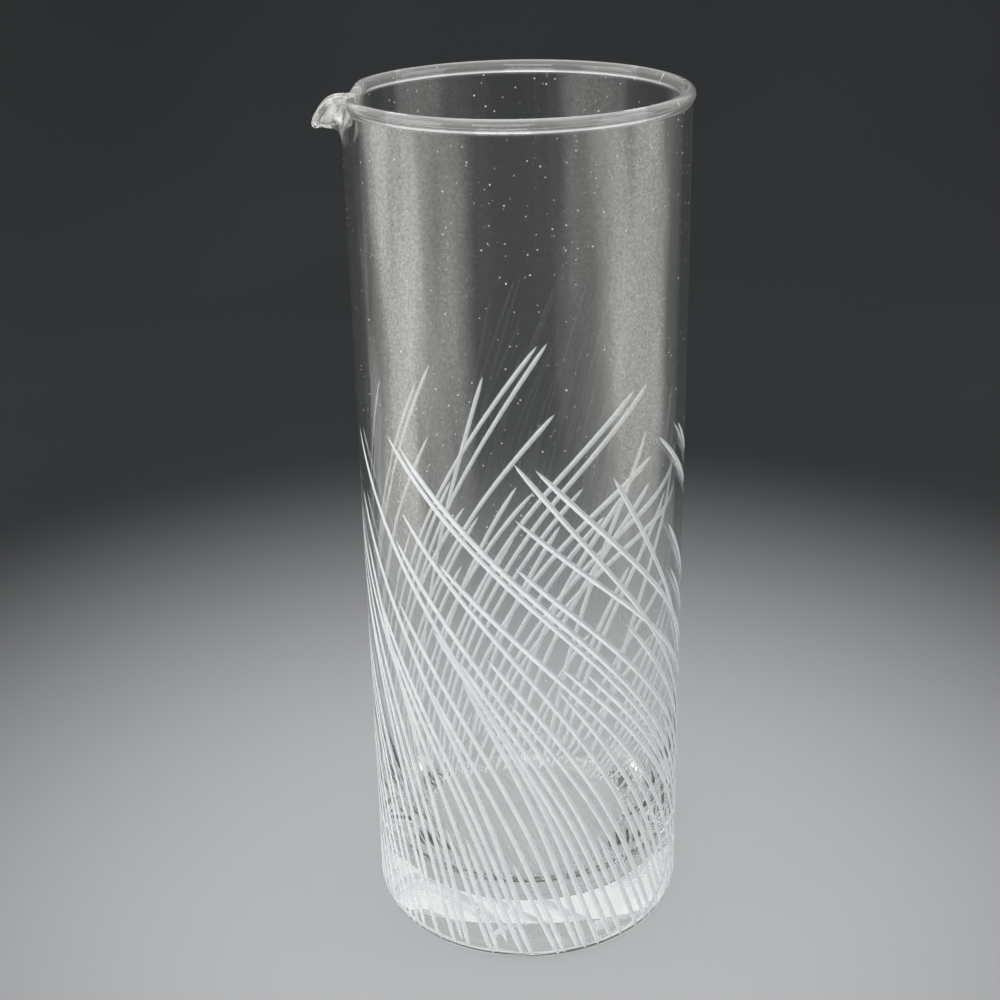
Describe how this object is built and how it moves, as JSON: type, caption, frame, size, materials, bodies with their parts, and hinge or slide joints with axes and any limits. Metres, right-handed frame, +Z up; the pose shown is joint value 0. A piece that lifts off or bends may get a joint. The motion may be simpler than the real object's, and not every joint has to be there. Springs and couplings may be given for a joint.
{
  "type": "cocktail pitcher",
  "caption": "Tall straight clear-glass cocktail pitcher with a thick bottom, a round rim, a small pinched pouring lip and frosted cut strokes swirling round its lower part.",
  "frame": {"origin": "middle of the flat underside that the pitcher stands on, on the axis of the straight wall", "axes": "+Z up along the vessel's axis; the pouring lip points to -X"},
  "size_m": [0.1017, 0.0944, 0.25],
  "materials": {
    "base_glass": "clear, thick, polished glass with a very slight cool tint, crossed by the lower ends of the frosted cut strokes",
    "wall_glass": "clear polished glass; long tapering strokes are wheel-cut into its outside and left frosted white",
    "rim_glass": "clear fire-polished glass, very smooth, with a slightly cooler tint where it is seen edge on"
  },
  "bodies": {
    "root": {"thick_base": "base_glass", "side_wall": "wall_glass", "rim_bead": "rim_glass", "pouring_lip": "rim_glass"}
  },
  "joints": []
}
